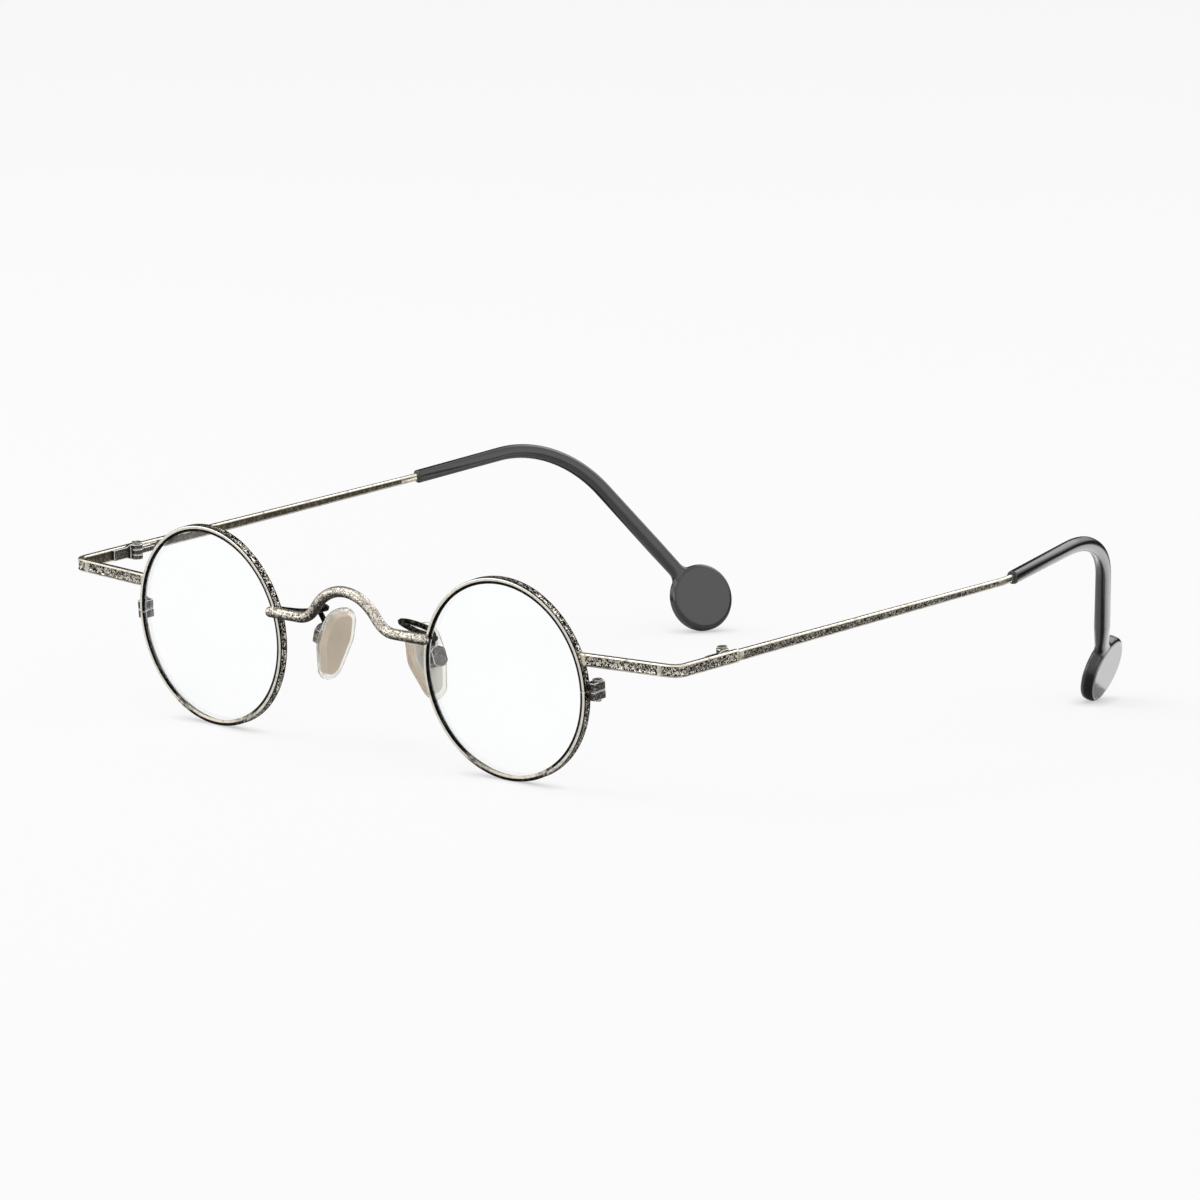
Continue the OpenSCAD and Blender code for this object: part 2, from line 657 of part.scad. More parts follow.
// Moulded tip: straight, bend, drop and disc, with a mouth for the bar and a bore for the core
module tip() {
  rings = concat(
    stations(kink_run, tip_straight, 6),
    stations(tip_straight, tip_straight + bend_len, 14),
    stations(tip_straight + bend_len, disc_s - neck, 5),
    stations(disc_s - neck, disc_s - neck_touch, 6),
    [disc_s - neck_touch, disc_s - disc_d / 4]
  );
  color([0.13, 0.13, 0.13]) difference() {
    union() {
      tip_frame() skin([for (s = rings) tip_ring(s)]);
      disc_frame() rotate([0, 90, 0]) rotate_extrude() intersection() {
        rounded_rect(disc_d, disc_t, disc_round);
        translate([0, -disc_t]) square([disc_d, 2 * disc_t]);
      }
    }
    mouth_frame() translate([0, kink_run - cut, 0]) along_y(socket_len + cut)
      rounded_rect(bar_end_t + 2 * socket_play, bar_end_h + 2 * socket_play, bar_round);
    mouth_frame() translate([0, kink_run, 0]) along_y(core_len + cut) circle(d = core_d + 2 * screw_fit);
  }
}

function unit(v) = v / norm(v);

// Point on a smooth curve through four points, at share t between the middle two
function curve_point(a, b, c, d, t) =
  0.5 * (2 * b + (c - a) * t + (2 * a - 5 * b + 4 * c - d) * t * t + (3 * b - a - 3 * c + d) * t * t * t);

function curve_through(pts, steps) = [
  for (i = [0:len(pts) - 2], s = [0:steps - 1])
    curve_point(pts[max(i - 1, 0)], pts[i], pts[i + 1], pts[min(i + 2, len(pts) - 1)], s / steps),
  pts[len(pts) - 1]
];

// Round wire swept along a path, with a ring of points at each path point
module swept_wire(path, d, sides = 10) {
  n = len(path);
  dirs = [for (i = [0:n - 1]) unit(path[min(i + 1, n - 1)] - path[max(i - 1, 0)])];
  side_dirs = [
    for (i = 0, s = unit(cross(dirs[0], [0, 1, 0])); i < n;
         i = i + 1, s = i < n ? unit(s - dirs[i] * (s * dirs[i])) : s) s
  ];
  skin([
    for (i = [0:n - 1])
      [for (k = [0:sides - 1])
        let (a = 360 * k / sides)
          path[i] + d / 2 * (side_dirs[i] * cos(a) + cross(dirs[i], side_dirs[i]) * sin(a))]
  ]);
}

// Pad arm, trimmed flat on the round top of its box
module pad_arm() {
  color("dimgray") difference() {
    front_frame() swept_wire(curve_through(ARM_POINTS, 5), arm_d);
    pad_frame() rotate([0, 90, 0]) cylinder(d = box_d + 2 * seam, h = 2 * box_out_x);
  }
}

// Round box with flat sides that holds the pad's lug between two cheeks
module pad_box() {
  color("dimgray") pad_frame() difference() {
    intersection() {
      translate([box_in_x, 0, 0]) rotate([0, 90, 0]) cylinder(d = box_d, h = box_out_x - box_in_x);
      translate([0, -box_w / 2, -box_d]) cube([2 * box_out_x, box_w, 2 * box_d]);
    }
    translate([box_in_x - cut, -lug_w / 2 - slip, -box_d])
      cube([box_floor_x - box_in_x + cut, lug_w + 2 * slip, 2 * box_d]);
    translate([pad_axis_x, -box_w, 0]) rotate([-90, 0, 0]) cylinder(d = pad_screw_d + 2 * screw_fit, h = 2 * box_w);
  }
}

module pad_screw() {
  color("gray") pad_frame() translate([pad_axis_x, -box_w / 2 - seam, 0]) rotate([90, 0, 0]) rotate([0, 0, 40])
    slotted_screw(pad_screw_d, box_w, pad_head_d, pad_head_h);
}

// Outline of a pad in Y and Z, broad at the top and narrow at the bottom
module pad_outline(inset) {
  top_r = pad_w * 0.38;
  low_r = pad_w * 0.33;
  translate([0, -pad_drop]) hull() {
    translate([-pad_w * 0.06, pad_len / 2 - top_r]) circle(r = top_r - inset, $fn = 32);
    translate([pad_w * 0.09, pad_len * 0.49 - top_r]) circle(r = top_r - inset, $fn = 32);
    translate([0, pad_len * 0.06]) circle(r = pad_w / 2 - inset, $fn = 40);
    translate([0, low_r - pad_len / 2]) circle(r = low_r - inset, $fn = 32);
  }
}

// Slab of the pad's outline between two heights above its middle
module pad_slab(inset, from, to) {
  translate([from, 0, 0]) rotate([90, 0, 90]) linear_extrude(to - from) pad_outline(inset);
}

// Clear pad, cushioned at its edges, with a pocket for its core
module nose_pad() {
  soft = pad_t / 3;
  color("white", 0.6) pad_frame() difference() {
    hull() {
      pad_slab(0, -pad_t / 6, pad_t / 6);
      pad_slab(soft * 0.35, -pad_t * 0.38, pad_t * 0.38);
      pad_slab(soft, -pad_t / 2, pad_t / 2);
    }
    pad_slab(pad_margin - seam, -core_plate_t / 2 - seam, core_plate_t / 2 + seam);
    translate([0, -lug_w / 2 - seam, -lug_r - seam]) cube([pad_t, lug_w + 2 * seam, 2 * (lug_r + seam)]);
  }
}

// Beige core plate with the lug that the pad screw passes through
module pad_core() {
  color([0.78, 0.72, 0.65]) pad_frame() difference() {
    union() {
      pad_slab(pad_margin, -core_plate_t / 2, core_plate_t / 2);
      translate([0, -lug_w / 2, -lug_r]) cube([pad_axis_x, lug_w, 2 * lug_r]);
      translate([pad_axis_x, -lug_w / 2, 0]) rotate([-90, 0, 0]) cylinder(r = lug_r, h = lug_w);
    }
    translate([pad_axis_x, -lug_w, 0]) rotate([-90, 0, 0]) cylinder(d = pad_screw_d + 2 * turn_fit, h = 2 * lug_w);
  }
}

on_left() rim();  // rim_left
on_right() rim();  // rim_right
on_left() lens();  // lens_left
on_right() lens();  // lens_right
on_left() rim_lock_upper();  // rim_lock_upper_left
on_right() rim_lock_upper();  // rim_lock_upper_right
on_left() rim_lock_lower();  // rim_lock_lower_left
on_right() rim_lock_lower();  // rim_lock_lower_right
on_left() rim_screw();  // rim_screw_left
on_right() rim_screw();  // rim_screw_right
bridge();
on_left() end_piece();  // end_piece_left
on_right() end_piece();  // end_piece_right
on_left() hinge_front();  // hinge_front_left
on_right() hinge_front();  // hinge_front_right
on_left() hinge_screw();  // hinge_screw_left
on_right() hinge_screw();  // hinge_screw_right
on_left() hinge_temple();  // hinge_temple_left
on_right() hinge_temple();  // hinge_temple_right
on_left() temple();  // temple_left
on_right() temple();  // temple_right
on_left() tip();  // tip_left
on_right() tip();  // tip_right
on_left() pad_arm();  // pad_arm_left
on_right() pad_arm();  // pad_arm_right
on_left() pad_box();  // pad_box_left
on_right() pad_box();  // pad_box_right
on_left() pad_screw();  // pad_screw_left
on_right() pad_screw();  // pad_screw_right
on_left() nose_pad();  // nose_pad_left
on_right() nose_pad();  // nose_pad_right
on_left() pad_core();  // pad_core_left
on_right() pad_core();  // pad_core_right
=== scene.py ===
import bpy
import bmesh
from math import asin, cos, pi, radians, sin, sqrt, tan
from mathutils import Matrix, Vector


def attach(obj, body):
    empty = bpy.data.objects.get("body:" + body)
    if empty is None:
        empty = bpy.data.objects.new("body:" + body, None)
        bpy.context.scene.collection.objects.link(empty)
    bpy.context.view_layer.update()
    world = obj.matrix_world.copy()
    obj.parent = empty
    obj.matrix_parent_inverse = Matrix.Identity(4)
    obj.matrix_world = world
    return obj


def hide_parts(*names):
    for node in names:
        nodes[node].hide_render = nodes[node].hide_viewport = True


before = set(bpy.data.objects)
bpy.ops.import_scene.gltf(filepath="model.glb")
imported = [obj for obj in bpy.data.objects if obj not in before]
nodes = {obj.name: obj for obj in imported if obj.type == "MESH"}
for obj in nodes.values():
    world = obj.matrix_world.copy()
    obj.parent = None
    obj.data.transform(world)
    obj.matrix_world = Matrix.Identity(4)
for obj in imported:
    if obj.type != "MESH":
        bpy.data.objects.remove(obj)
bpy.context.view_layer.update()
print("frame loaded:", len(nodes), "nodes")

# Everything below is measured in millimetres and brought to metres when a piece is finished.
mm = 0.001


def turn(angle, axis):
    return Matrix.Rotation(radians(angle), 4, axis)


def move(x, y, z):
    return Matrix.Translation((x, y, z))


def axesAt(place, x, y, z):
    m = Matrix.Identity(4)
    for column, values in enumerate((x, y, z, place)):
        m.col[column][:3] = values
    return m


# Places shared by the pieces, as in the solids. Only the tips' mouth and neck are a little thicker than there.
front = {"rimDiameter": 35, "rimSpacing": 68, "faceWidth": 0.9, "rimDepth": 1.7, "edge": 0.3, "tilt": 7.4,
         "wrap": 2.8}
bars = {"spread": 139, "rootAngle": 18, "setback": 0.6, "sweep": 7, "cornerRadius": 2.2, "returnLength": 12.7,
        "thick": 1.2, "stripHeight": 2.2, "barHeight": 1.9, "endThick": 0.9, "endHeight": 1.3, "length": 69,
        "rise": 4.6, "kink": 1.5}
tips = {"mouth": (2.05, 2.3), "neck": (2.7, 2.7), "straight": 20, "bendRadius": 21.7, "bend": 61, "toe": 9.9,
        "lift": 4, "roll": 23, "disc": 12, "discThick": 2.5, "discEdge": 0.8, "discTurn": 6.6, "fillet": 1.8}
pads = {"x": 10.8, "y": 5.6, "low": 1, "drop": 0.5, "slope": 17, "splay": 3, "length": 13.3, "width": 8.6,
        "margin": 1.15, "core": 1}

rimRadius = front["rimDiameter"] / 2
sightRadius = rimRadius - front["faceWidth"]


def standHeight(radius, thick, edge, up):
    # height of the middle of a round slab that stands on its rim
    return (radius - edge) * sqrt(1 - up * up) + (thick / 2 - edge) * abs(up) + edge


rimLean = cos(radians(front["wrap"])) * sin(radians(front["tilt"]))
frontZ = standHeight(rimRadius, front["rimDepth"], front["edge"], rimLean)
frontFrame = move(0, 0, frontZ) @ turn(front["tilt"], "X")
rimFrame = frontFrame @ move(front["rimSpacing"] / 2, 0, 0) @ turn(front["wrap"], "Z")
rootAngle = radians(bars["rootAngle"])
barDepth = bars["setback"] + bars["thick"] / 2 - front["rimDepth"] / 2
endRoot = rimFrame @ Vector((rimRadius * cos(rootAngle), barDepth, rimRadius * sin(rootAngle)))
endFrame = Matrix.Translation(endRoot) @ turn(bars["rise"], "X")
barX = bars["spread"] / 2 - endRoot.x
cornerX = barX - bars["cornerRadius"] * (1 - sin(radians(bars["sweep"])))
cornerY = cornerX * tan(radians(bars["sweep"]))
splitY = cornerY + bars["cornerRadius"] * cos(radians(bars["sweep"])) + bars["returnLength"]
splitFrame = endFrame @ move(barX, splitY, 0)
mouthFrame = splitFrame @ move(0, bars["length"], 0) @ turn(tips["toe"], "Z") @ turn(tips["lift"], "X")
tipFrame = mouthFrame @ turn(tips["roll"], "Y")
padFrame = (frontFrame @ move(pads["x"], pads["y"], -pads["low"]) @ turn(-pads["splay"], "Z")
            @ turn(-pads["slope"], "Y"))

bend = radians(tips["bend"])
bendEnd = Vector((0, tips["straight"] + tips["bendRadius"] * sin(bend), -tips["bendRadius"] * (1 - cos(bend))))
dropWay = Vector((0, cos(bend), -sin(bend)))
discNormal = (tipFrame @ turn(-tips["bend"], "X") @ turn(-tips["discTurn"], "Y")).to_3x3() @ Vector((1, 0, 0))
discZ = standHeight(tips["disc"] / 2, tips["discThick"], tips["discEdge"], discNormal.z)
bendEndZ = (tipFrame @ bendEnd).z
dropLength = (bendEndZ - discZ) / (bendEndZ - (tipFrame @ (bendEnd + dropWay)).z)
discFrame = (tipFrame @ Matrix.Translation(bendEnd + dropWay * dropLength) @ turn(-tips["bend"], "X")
             @ turn(-tips["discTurn"], "Y"))


def hexColour(code):
    # an sRGB hex value as a linear colour
    parts = [int(code[i:i + 2], 16) / 255 for i in (0, 2, 4)]
    return (*(p / 12.92 if p <= 0.04045 else ((p + 0.055) / 1.055) ** 2.4 for p in parts), 1)


def addNode(tree, kind, values=None, **settings):
    made = tree.nodes.new(kind)
    for name, value in settings.items():
        setattr(made, name, value)
    for name, value in (values or {}).items():
        if isinstance(value, bpy.types.NodeSocket):
            tree.links.new(value, made.inputs[name])
        else:
            made.inputs[name].default_value = value
    return made


def newMaterial(name, **sockets):
    material = bpy.data.materials.new(name)
    material.use_nodes = True
    shader = material.node_tree.nodes["Principled BSDF"]
    for socket, value in sockets.items():
        shader.inputs[socket.replace("_", " ")].default_value = value
    return material, material.node_tree, shader


def inMillimetres(tree):
    place = addNode(tree, "ShaderNodeTexCoord").outputs["Object"]
    return addNode(tree, "ShaderNodeVectorMath", {0: place, 1: (1000, 1000, 1000)}, operation="MULTIPLY").outputs[0]


# Nickel silver, engraved, blackened and then polished back: dark stays in the cuts, the ridges are bright.
# grain is the width of one cut leaf in millimetres, share how much of the face the cuts take, soft how blurred a
# cut's edge is, wear how uneven the polish is, and depth the relief in millimetres. under is painted shade: it
# blackens what faces down. low is painted light and shade: it brightens or blackens the last millimetres above
# what the frame stands on.
paintedShading = {"underFrom": -0.05, "underFull": -0.75, "lowFrom": 4.6, "lowFull": 0.5}


def engravedSilver(name, look):
    material, tree, shader = newMaterial(name, Metallic=1)
    place = inMillimetres(tree)
    cuts = addNode(tree, "ShaderNodeTexNoise", {"Vector": place, "Scale": 0.6 / look["grain"], "Detail": 1.5,
                                               "Roughness": 0.45, "Distortion": look["curl"]}).outputs["Fac"]
    # scratches of a quarter of a millimetre, and patches of wear of about three
    hairs = addNode(tree, "ShaderNodeTexNoise", {"Vector": place, "Scale": 4, "Detail": 3}).outputs["Fac"]
    wear = addNode(tree, "ShaderNodeTexNoise", {"Vector": place, "Scale": 0.35, "Detail": 2}).outputs["Fac"]
    level = addNode(tree, "ShaderNodeMath", {0: hairs, 1: 0.12, 2: cuts}, operation="MULTIPLY_ADD").outputs[0]
    level = addNode(tree, "ShaderNodeMath", {0: wear, 1: look["wear"], 2: level},
                    operation="MULTIPLY_ADD").outputs[0]
    # painted shade: what faces down is blackened, as if it stood in shadow
    if "under" in look:
        facing = addNode(tree, "ShaderNodeSeparateXYZ", {0: addNode(tree, "ShaderNodeTexCoord").outputs["Normal"]})
        shade = addNode(tree, "ShaderNodeMapRange", {"Value": facing.outputs["Z"], "From Min": paintedShading["underFrom"],
                                                     "From Max": paintedShading["underFull"],
                                                     "To Max": look["under"]}).outputs[0]
        level = addNode(tree, "ShaderNodeMath", {0: level, 1: shade}, operation="SUBTRACT").outputs[0]
    # painted light and shade by height: the last millimetres above the floor are darkened where low is below zero
    # and brightened where it is above
    if "low" in look:
        height = addNode(tree, "ShaderNodeSeparateXYZ", {0: place}).outputs["Z"]
        change = addNode(tree, "ShaderNodeMapRange", {"Value": height, "From Min": paintedShading["lowFrom"],
                                                      "From Max": paintedShading["lowFull"],
                                                      "To Max": look["low"]}).outputs[0]
        level = addNode(tree, "ShaderNodeMath", {0: level, 1: change}, operation="ADD").outputs[0]
    middle = look["share"] + 0.06 + look["wear"] / 2
    ridge = addNode(tree, "ShaderNodeMapRange", {"Value": level, "From Min": middle - look["soft"],
                                                 "From Max": middle + look["soft"]},
                    interpolation_type="SMOOTHSTEP").outputs[0]
    colour = addNode(tree, "ShaderNodeMix", {"Factor": ridge, 6: hexColour(look["dark"]),
                                             7: hexColour(look["bright"])}, data_type="RGBA").outputs[2]
    rough = addNode(tree, "ShaderNodeMapRange", {"Value": ridge, "To Min": 0.55,
                                                 "To Max": look["polish"]}).outputs[0]
    bump = addNode(tree, "ShaderNodeBump", {"Height": ridge, "Strength": 0.8,
                                            "Distance": look["depth"] * mm}).outputs[0]
    tree.links.new(colour, shader.inputs["Base Color"])
    tree.links.new(rough, shader.inputs["Roughness"])
    tree.links.new(bump, shader.inputs["Normal"])
    return material


# The band round a rim: coarse leaves cut deep, so it reads as black and white flecks
bandSilver = engravedSilver("engraved_nickel_silver", {
    "grain": 0.31, "curl": 1.7, "share": 0.55, "soft": 0.03, "wear": 0.05,
    "dark": "0B0A09", "bright": "F4EEE2", "polish": 0.24, "depth": 0.07})
# The end pieces' panels: finer leaves, cut shallower and less black
panelSilver = engravedSilver("engraved_nickel_silver_panel", {
    "grain": 0.26, "curl": 1.5, "share": 0.52, "soft": 0.045, "wear": 0.04,
    "dark": "211F1C", "bright": "E2DCCF", "polish": 0.3, "depth": 0.05})
# The temple bars' panels: handled most, so the flecks are small and grey
barSilver = engravedSilver("engraved_nickel_silver_bar", {
    "grain": 0.2, "curl": 1.3, "share": 0.53, "soft": 0.06, "wear": 0.06,
    "dark": "2B2926", "bright": "CBC5B9", "polish": 0.34, "depth": 0.04})
# The bridge: its leaves are half worn away, and its underside is blackened as painted shade
bridgeSilver = engravedSilver("worn_engraved_nickel_silver", {
    "grain": 0.22, "curl": 1.8, "share": 0.46, "soft": 0.09, "wear": 0.16,
    "dark": "37342F", "bright": "E4DDCE", "polish": 0.24, "depth": 0.04, "under": 0.26})
# Corners that the polishing cloth reached: nearly white, with a few stains
brightSilver = engravedSilver("polished_nickel_silver", {
    "grain": 0.5, "curl": 0.8, "share": 0.3, "soft": 0.08, "wear": 0.16,
    "dark": "8B8577", "bright": "FBF7EC", "polish": 0.16, "depth": 0.01})
# The bars' long edges: rubbed smooth, so they shine in one soft light grey
edgeSilver = engravedSilver("rubbed_nickel_silver", {
    "grain": 0.7, "curl": 0.5, "share": 0.36, "soft": 0.2, "wear": 0.2,
    "dark": "A59D8D", "bright": "E2DBCB", "polish": 0.22, "depth": 0.005})
# Grooves and hollows that the cloth did not reach: black with a dull gleam
darkSilver = engravedSilver("blackened_nickel_silver", {
    "grain": 0.5, "curl": 0.6, "share": 0.6, "soft": 0.12, "wear": 0.2,
    "dark": "0C0B0A", "bright": "2E2B26", "polish": 0.4, "depth": 0.02})
# The backs, never engraved: stained brown grey and a little dull
insideSilver = engravedSilver("stained_nickel_silver", {
    "grain": 0.34, "curl": 0.6, "share": 0.55, "soft": 0.14, "wear": 0.2,
    "dark": "4A463F", "bright": "77715F", "polish": 0.36, "depth": 0.01})
# A rim's front lip: polished bright, and darkened at the rim's bottom as painted shade
lipSilver = engravedSilver("rubbed_lip_nickel_silver", {
    "grain": 0.5, "curl": 0.8, "share": 0.2, "soft": 0.3, "wear": 0.16,
    "dark": "1C1A17", "bright": "FBF7EC", "polish": 0.18, "depth": 0.005, "low": -0.7})
# The step beside a lens: black as painted shade, and grey at the rim's bottom as a painted highlight, where its wall
# faces up
stepSilver = engravedSilver("painted_shade_and_highlight_step_nickel_silver", {
    "grain": 0.5, "curl": 0.6, "share": 0.9, "soft": 0.34, "wear": 0.1,
    "dark": "14120F", "bright": "AAA497", "polish": 0.34, "depth": 0.005, "low": 0.8})
# The pad arms: wire that was drawn, bent and blackened, with only a thin shine along its bends
wireSilver = engravedSilver("blackened_pad_wire", {
    "grain": 0.4, "curl": 0.5, "share": 0.58, "soft": 0.14, "wear": 0.1,
    "dark": "0E0D0C", "bright": "4B473F", "polish": 0.3, "depth": 0.005})
rimMetals = [brightSilver, darkSilver, bandSilver, insideSilver, lipSilver, stepSilver]
endMetals = [edgeSilver, darkSilver, panelSilver, insideSilver]
barMetals = [edgeSilver, darkSilver, barSilver, insideSilver]


# Small cast and turned fittings, with clouds of a third of a millimetre and their corners painted bright: partly
# rubbed wear, partly a painted highlight.
# corner is how far from a corner the bright wear and painted highlight reach in millimetres, and dull the
# roughness away from it.
def wornAndHighlitMetal(name, look):
    material, tree, shader = newMaterial(name, Metallic=1)
    place = inMillimetres(tree)
    soft = addNode(tree, "ShaderNodeBevel", {"Radius": look["corner"] * mm}, samples=6).outputs[0]
    flat = addNode(tree, "ShaderNodeNewGeometry").outputs["Normal"]
    same = addNode(tree, "ShaderNodeVectorMath", {0: soft, 1: flat}, operation="DOT_PRODUCT").outputs["Value"]
    spots = addNode(tree, "ShaderNodeTexNoise", {"Vector": place, "Scale": 3, "Detail": 3}).outputs["Fac"]
    level = addNode(tree, "ShaderNodeMath", {0: spots, 1: -0.1, 2: same}, operation="MULTIPLY_ADD").outputs[0]
    # bright corners: rubbed wear together with a painted highlight
    wearAndHighlight = addNode(tree, "ShaderNodeMapRange", {"Value": level, "From Min": 0.945, "From Max": 0.89},
                   interpolation_type="SMOOTHSTEP").outputs[0]
    cloud = addNode(tree, "ShaderNodeMapRange", {"Value": spots, "From Min": 0.35, "From Max": 0.7}).outputs[0]
    base = addNode(tree, "ShaderNodeMix", {"Factor": cloud, 6: hexColour(look["dark"]),
                                           7: hexColour(look["middle"])}, data_type="RGBA").outputs[2]
    colour = addNode(tree, "ShaderNodeMix", {"Factor": wearAndHighlight, 6: base, 7: hexColour(look["bright"])},
                     data_type="RGBA").outputs[2]
    rough = addNode(tree, "ShaderNodeMapRange", {"Value": wearAndHighlight, "To Min": look["dull"], "To Max": 0.2}).outputs[0]
    tree.links.new(colour, shader.inputs["Base Color"])
    tree.links.new(rough, shader.inputs["Roughness"])
    tree.links.new(soft, shader.inputs["Normal"])
    return material


# Hinge leaves, closing blocks and pad boxes: clouded dark grey with bright corners
fittingMetal = wornAndHighlitMetal("blackened_cast_nickel", {"dark": "302F2E", "middle": "7C7A76", "bright": "FAF6EE",
                                                     "corner": 0.26, "dull": 0.34})
# Screws, turned from bare steel: evenly light, with a fine bright edge round the head
screwSteel = wornAndHighlitMetal("turned_steel_screw", {"dark": "8F8B82", "middle": "C2BDB1", "bright": "F5F1E8",
                                                "corner": 0.07, "dull": 0.25})


# Cellulose acetate, moulded and tumbled: an even black that shines softly, over a faint ripple.
def satinAcetate():
    material, tree, shader = newMaterial("satin_black_acetate", IOR=1.5, Specular_IOR_Level=0.85)
    place = inMillimetres(tree)
    cloud = addNode(tree, "ShaderNodeTexNoise", {"Vector": place, "Scale": 0.35, "Detail": 3}).outputs["Fac"]
    skin = addNode(tree, "ShaderNodeTexNoise", {"Vector": place, "Scale": 9, "Detail": 2}).outputs["Fac"]
    colour = addNode(tree, "ShaderNodeMix", {"Factor": cloud, 6: hexColour("121211"), 7: hexColour("1D1D1B")},
                     data_type="RGBA").outputs[2]
    rough = addNode(tree, "ShaderNodeMapRange", {"Value": cloud, "To Min": 0.2, "To Max": 0.26}).outputs[0]
    bump = addNode(tree, "ShaderNodeBump", {"Height": skin, "Strength": 0.05, "Distance": 0.01 * mm}).outputs[0]
    tree.links.new(colour, shader.inputs["Base Color"])
    tree.links.new(rough, shader.inputs["Roughness"])
    tree.links.new(bump, shader.inputs["Normal"])
    return material


# Lens resin, cast and polished: so clear that mostly its reflections show.
def castResin():
    material, tree, shader = newMaterial("clear_lens_resin", IOR=1.5, Roughness=0.0, Transmission_Weight=1)
    smear = addNode(tree, "ShaderNodeTexNoise", {"Vector": inMillimetres(tree), "Scale": 0.12, "Detail": 1})
    tint = addNode(tree, "ShaderNodeMix", {"Factor": smear.outputs["Fac"], 6: hexColour("FCFEFE"),
                                           7: hexColour("FFFFFF")}, data_type="RGBA").outputs[2]
    tree.links.new(tint, shader.inputs["Base Color"])
    return material


# Soft silicone, moulded over the plate: clear, with the faint haze that its mould leaves.
def mouldedSilicone():
    material, tree, shader = newMaterial("clear_pad_silicone", IOR=1.41, Transmission_Weight=0.92)
    shader.inputs["Base Color"].default_value = hexColour("FAF8F2")
    haze = addNode(tree, "ShaderNodeTexNoise", {"Vector": inMillimetres(tree), "Scale": 0.8, "Detail": 2})
    rough = addNode(tree, "ShaderNodeMapRange", {"Value": haze.outputs["Fac"], "To Min": 0.08, "To Max": 0.2})
    tree.links.new(rough.outputs[0], shader.inputs["Roughness"])
    return material


# Moulded nylon: one even colour with faint flecks, and a low shine.
def mouldedNylon(name, shades, dull):
    material, tree, shader = newMaterial(name, IOR=1.52)
    fleck = addNode(tree, "ShaderNodeTexNoise", {"Vector": inMillimetres(tree), "Scale": 1.5, "Detail": 3})
    fleck = fleck.outputs["Fac"]
    colour = addNode(tree, "ShaderNodeMix", {"Factor": fleck, 6: hexColour(shades[0]), 7: hexColour(shades[1])},
                     data_type="RGBA").outputs[2]
    rough = addNode(tree, "ShaderNodeMapRange", {"Value": fleck, "To Min": dull[0], "To Max": dull[1]}).outputs[0]
    tree.links.new(colour, shader.inputs["Base Color"])
    tree.links.new(rough, shader.inputs["Roughness"])
    return material


tipAcetate = satinAcetate()
lensResin = castResin()
padSilicone = mouldedSilicone()
# the plate in a pad is beige towards the nose, and a milky layer backs it
padCore = mouldedNylon("beige_nylon_core", ("D3C3AF", "DED0BE"), (0.35, 0.5))
padBack = mouldedNylon("milky_nylon_back", ("EDEAE4", "F6F4F0"), (0.3, 0.45))
print("materials made")


def sweep(bm, sections, places):
    # pulls a flat section, drawn in X and Z, through a row of places whose Y points along the way
    ring = bm.verts.layers.int.new("ring")
    step = bm.verts.layers.int.new("step")
    corners = [bm.verts.new(places[0] @ Vector((x, 0, z))) for x, z in sections[0]]
    for number, corner in enumerate(corners):
        corner[ring] = number
    face = bm.faces.new(corners)
    for count, place in enumerate(places[1:], 1):
        grown = bmesh.ops.extrude_face_region(bm, geom=[face, *face.edges, *face.verts])["geom"]
        for vert in (g for g in grown if isinstance(g, bmesh.types.BMVert)):
            x, z = sections[count][vert[ring]]
            vert.co = place @ Vector((x, 0, z))
            vert[step] = count
        face = next(g for g in grown if isinstance(g, bmesh.types.BMFace))


def paint(bm, marks, plain=()):
    # gives each face the material of the section's side that it grew from, and steps in plain the first material
    ring = bm.verts.layers.int["ring"]
    step = bm.verts.layers.int.get("step")
    for face in bm.faces:
        sides = sorted({v[ring] for v in face.verts})
        if len(sides) == 2:
            mark = marks[sides[0] if sides[1] == sides[0] + 1 else sides[1]]
            if step and max(v[step] for v in face.verts) in plain:
                mark = 0
            face.material_index = mark


def piece(name, bm, body, replaced, materials, sharp=40, mirrored=False):
    # a finished object on its body, from a shape in millimetres
    bmesh.ops.recalc_face_normals(bm, faces=bm.faces)
    bmesh.ops.scale(bm, vec=(-mm if mirrored else mm, mm, mm), verts=bm.verts)
    if mirrored:
        bmesh.ops.reverse_faces(bm, faces=bm.faces)
    for face in bm.faces:
        face.smooth = True
    for edge in bm.edges:
        edge.smooth = len(edge.link_faces) == 2 and edge.calc_face_angle(0) < radians(sharp)
    mesh = bpy.data.meshes.new(name)
    bm.to_mesh(mesh)
    bm.free()
    made = bpy.data.objects.new(name, mesh)
    bpy.context.scene.collection.objects.link(made)
    for material in materials:
        mesh.materials.append(material)
    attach(made, body)
    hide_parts(*replaced)
    return made


def bothSides(stem, bm, body, replaced, materials, sharp=40):
    # the left piece and its mirror image
    bodies = {"left": body.replace("*", "left"), "right": body.replace("*", "right")}
    return [piece(f"{stem}_{side}", bm.copy(), bodies[side], [f"{n}_{side}" for n in replaced], materials,
                  sharp, side == "right") for side in ("left", "right")]


def roundSection(radius, sides):
    return [(radius * cos(2 * pi * k / sides), radius * sin(2 * pi * k / sides)) for k in range(sides)]


# Rims: a drawn wire with a dark step beside the lens, an engraved band outside and the lens groove inside
rimWire = {"frontStep": 0.35, "stepDepth": 0.07, "overLens": 0.15, "bandMargin": 0.26, "bandDepth": 0.08,
           "groove": 0.35, "grooveMouth": 0.9, "split": 0.12, "steps": 220}


